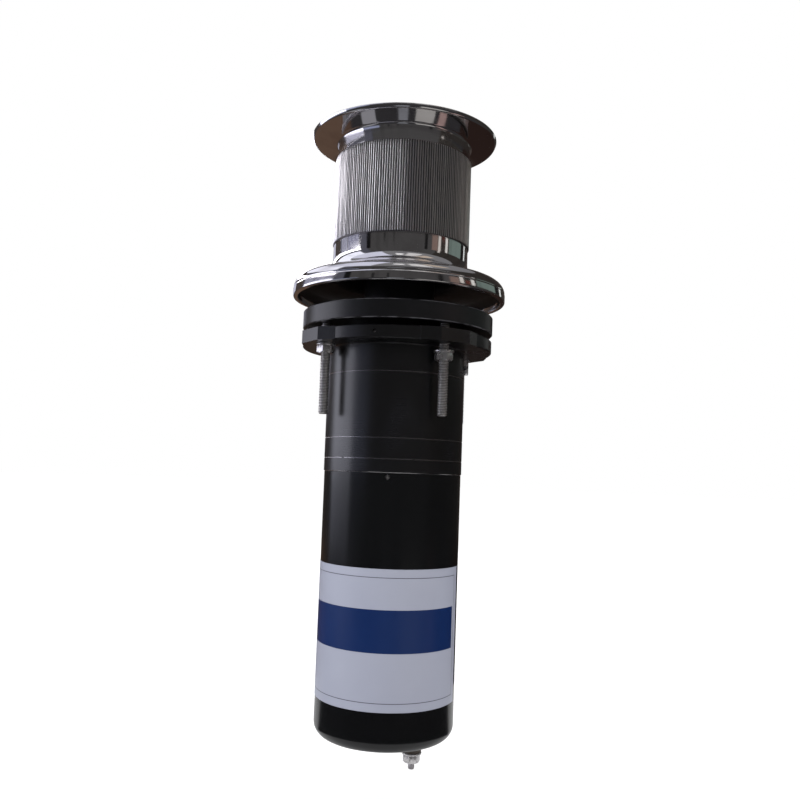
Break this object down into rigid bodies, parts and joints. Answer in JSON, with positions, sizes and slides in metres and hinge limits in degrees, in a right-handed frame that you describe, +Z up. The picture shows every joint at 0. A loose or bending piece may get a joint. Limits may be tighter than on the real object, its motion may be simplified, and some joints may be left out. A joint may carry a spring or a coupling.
{
  "type": "deck capstan",
  "caption": "Vertical deck capstan: ribbed polished steel warping drum over a black base clamped through the deck, with planetary gearbox and electric motor hanging below.",
  "frame": {"origin": "centre of the deck seat, the flat underside of the deck base, on the drum's axis", "axes": "+Z up along the drum's axis, away from the motor; +X and +Y level, the terminal studs stand on the +X side"},
  "size_m": [0.1794, 0.1794, 0.527],
  "materials": {
    "polished_steel": "mirror-polished stainless steel, ribbed on the grip",
    "black_casting": "satin black coated casting",
    "black_gearbox": "satin black, turned",
    "motor_paint": "gloss black paint",
    "zinc_steel": "zinc-plated steel",
    "gear_steel": "ground gear steel",
    "bearing_steel": "ground bearing steel",
    "seal_rubber": "nitrile rubber",
    "magnet_ferrite": "matt ferrite",
    "core_steel": "stacked electrical steel",
    "copper": "enamelled copper",
    "carbon": "pressed carbon",
    "insulation": "moulded insulation"
  },
  "bodies": {
    "frame": {"deck_base": "black_casting", "gearbox_head": "black_gearbox", "ring_gear_housing": "black_gearbox", "motor_adapter": "black_gearbox", "motor_bell": "black_gearbox", "motor_can": "motor_paint", "base_bearing_lower": "bearing_steel", "base_bearing_upper": "bearing_steel", "head_bearing": "bearing_steel", "motor_bearing_front": "bearing_steel", "motor_bearing_rear": "bearing_steel", "base_seal": "seal_rubber", "head_seal": "seal_rubber", "adapter_seal": "seal_rubber", "clamping_bolts": "zinc_steel", "flange_washers": "zinc_steel", "flange_nuts": "zinc_steel", "oil_plug": "zinc_steel", "flange_set_screw": "zinc_steel", "housing_screws": "zinc_steel", "can_screws": "zinc_steel", "bell_screws": "zinc_steel", "terminal_studs": "zinc_steel", "terminal_washers": "zinc_steel", "terminal_nuts": "zinc_steel", "field_magnets": "magnet_ferrite", "brush_springs": "core_steel", "brush_holders": "copper", "carbon_brushes": "carbon", "brush_plate": "insulation", "terminal_insulators": "insulation"},
    "drum_group": {"drum": "polished_steel", "drum_cap": "polished_steel", "drum_key": "gear_steel", "output_shaft": "gear_steel", "output_planet_pins": "gear_steel"},
    "input_carrier_group": {"input_carrier": "gear_steel", "output_sun": "gear_steel", "input_planet_pins": "gear_steel"},
    "rotor": {"motor_shaft": "gear_steel", "sun_pinion": "gear_steel", "armature_core": "core_steel", "armature_windings": "copper", "commutator": "copper"},
    "output_planet_1_body": {"output_planet_1": "gear_steel"},
    "output_planet_2_body": {"output_planet_2": "gear_steel"},
    "output_planet_3_body": {"output_planet_3": "gear_steel"},
    "input_planet_1_body": {"input_planet_1": "gear_steel"},
    "input_planet_2_body": {"input_planet_2": "gear_steel"},
    "input_planet_3_body": {"input_planet_3": "gear_steel"}
  },
  "joints": [
    {"name": "drum_spin", "type": "hinge", "parent": "frame", "child": "drum_group", "pos_m": [0, 0, 0.1], "axis": [0, 0, 1], "continuous": true},
    {"name": "output_planet_1_spin", "type": "hinge", "parent": "drum_group", "child": "output_planet_1_body", "pos_m": [0.03, 0, -0.0576], "axis": [0, 0, 1], "continuous": true},
    {"name": "output_planet_2_spin", "type": "hinge", "parent": "drum_group", "child": "output_planet_2_body", "pos_m": [-0.015, 0.02598, -0.0576], "axis": [0, 0, 1], "continuous": true},
    {"name": "output_planet_3_spin", "type": "hinge", "parent": "drum_group", "child": "output_planet_3_body", "pos_m": [-0.015, -0.02598, -0.0576], "axis": [0, 0, 1], "continuous": true},
    {"name": "input_carrier_spin", "type": "hinge", "parent": "frame", "child": "input_carrier_group", "pos_m": [0, 0, -0.0712], "axis": [0, 0, 1], "continuous": true},
    {"name": "input_planet_1_spin", "type": "hinge", "parent": "input_carrier_group", "child": "input_planet_1_body", "pos_m": [0.03, 0, -0.0816], "axis": [0, 0, 1], "continuous": true},
    {"name": "input_planet_2_spin", "type": "hinge", "parent": "input_carrier_group", "child": "input_planet_2_body", "pos_m": [-0.015, 0.02598, -0.0816], "axis": [0, 0, 1], "continuous": true},
    {"name": "input_planet_3_spin", "type": "hinge", "parent": "input_carrier_group", "child": "input_planet_3_body", "pos_m": [-0.015, -0.02598, -0.0816], "axis": [0, 0, 1], "continuous": true},
    {"name": "rotor_spin", "type": "hinge", "parent": "frame", "child": "rotor", "pos_m": [0, 0, -0.2], "axis": [0, 0, 1], "continuous": true}
  ],
  "couplings": [
    {"joint": "output_planet_1_spin", "follows": "drum_spin", "ratio": -2.6667},
    {"joint": "output_planet_2_spin", "follows": "drum_spin", "ratio": -2.6667},
    {"joint": "output_planet_3_spin", "follows": "drum_spin", "ratio": -2.6667},
    {"joint": "input_carrier_spin", "follows": "drum_spin", "ratio": 5},
    {"joint": "input_planet_1_spin", "follows": "drum_spin", "ratio": -13.333},
    {"joint": "input_planet_2_spin", "follows": "drum_spin", "ratio": -13.333},
    {"joint": "input_planet_3_spin", "follows": "drum_spin", "ratio": -13.333},
    {"joint": "rotor_spin", "follows": "drum_spin", "ratio": 25}
  ]
}
